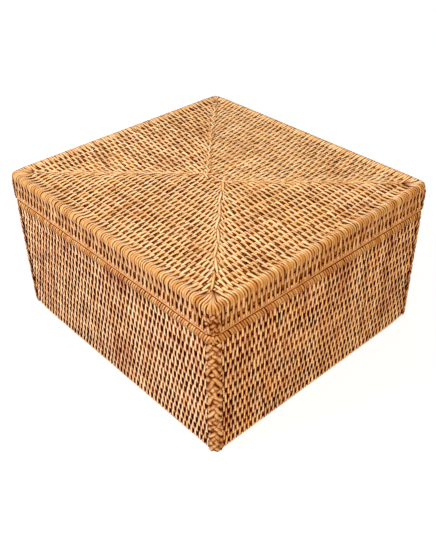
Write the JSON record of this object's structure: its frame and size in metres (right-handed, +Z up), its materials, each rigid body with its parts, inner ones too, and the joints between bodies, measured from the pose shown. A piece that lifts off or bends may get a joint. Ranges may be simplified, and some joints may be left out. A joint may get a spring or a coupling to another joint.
{
  "type": "woven lidded box",
  "caption": "Rectangular woven cane storage box with a lift-off lid: cane strips over rattan rods, braided corners, a wrapped shoulder and a mitred lid top.",
  "frame": {"origin": "middle of the underside, on the surface that the box stands on", "axes": "+X along the long sides, +Y towards the back, +Z up, the way the lid lifts"},
  "size_m": [0.33, 0.306, 0.1783],
  "materials": {
    "woven_cane": "honey-tan split cane, satin, with darker and redder patches",
    "rattan_rod": "brown rattan rod, matt, in the shade of the weave",
    "wrapped_cane": "golden cane laid side by side over a rod, satin",
    "braided_cane": "golden-brown cane, braided or lapped, satin",
    "pale_binding": "pale smooth cane strip, satin"
  },
  "bodies": {
    "base": {"floor_panel": "woven_cane", "wall_front": "woven_cane", "wall_right": "woven_cane", "wall_back": "woven_cane", "wall_left": "woven_cane", "wall_rod_01": "rattan_rod", "wall_rod_02": "rattan_rod", "wall_rod_03": "rattan_rod", "wall_rod_04": "rattan_rod", "wall_rod_05": "rattan_rod", "wall_rod_06": "rattan_rod", "wall_rod_07": "rattan_rod", "wall_rod_08": "rattan_rod", "wall_rod_09": "rattan_rod", "wall_rod_10": "rattan_rod", "wall_rod_11": "rattan_rod", "wall_rod_12": "rattan_rod", "wall_rod_13": "rattan_rod", "wall_rod_14": "rattan_rod", "rim_hoop": "rattan_rod", "rim_wrap_front": "wrapped_cane", "rim_wrap_right": "wrapped_cane", "rim_wrap_back": "wrapped_cane", "rim_wrap_left": "wrapped_cane", "collar_front": "woven_cane", "collar_right": "woven_cane", "collar_back": "woven_cane", "collar_left": "woven_cane", "corner_braid_front_left": "braided_cane", "corner_braid_front_right": "braided_cane", "corner_braid_back_right": "braided_cane", "corner_braid_back_left": "braided_cane"},
    "lid": {"edge_hoop": "rattan_rod", "edge_roll_front": "wrapped_cane", "edge_roll_right": "wrapped_cane", "edge_roll_back": "wrapped_cane", "edge_roll_left": "wrapped_cane", "skirt_front": "woven_cane", "skirt_right": "woven_cane", "skirt_back": "woven_cane", "skirt_left": "woven_cane", "skirt_rod_01": "rattan_rod", "skirt_rod_02": "rattan_rod", "lower_hoop": "rattan_rod", "lid_binding": "pale_binding", "top_panel_front": "woven_cane", "top_panel_right": "woven_cane", "top_panel_back": "woven_cane", "top_panel_left": "woven_cane", "mitre_spine_front_left": "braided_cane", "mitre_spine_front_right": "braided_cane", "mitre_spine_back_right": "braided_cane", "mitre_spine_back_left": "braided_cane", "ridge_spine": "braided_cane", "corner_lashing_front_left": "braided_cane", "corner_lashing_front_right": "braided_cane", "corner_lashing_back_right": "braided_cane", "corner_lashing_back_left": "braided_cane"}
  },
  "joints": [
    {"name": "lid_lift", "type": "slide", "parent": "base", "child": "lid", "axis": [0, 0, 1], "range_m": [0, 0.18]}
  ]
}
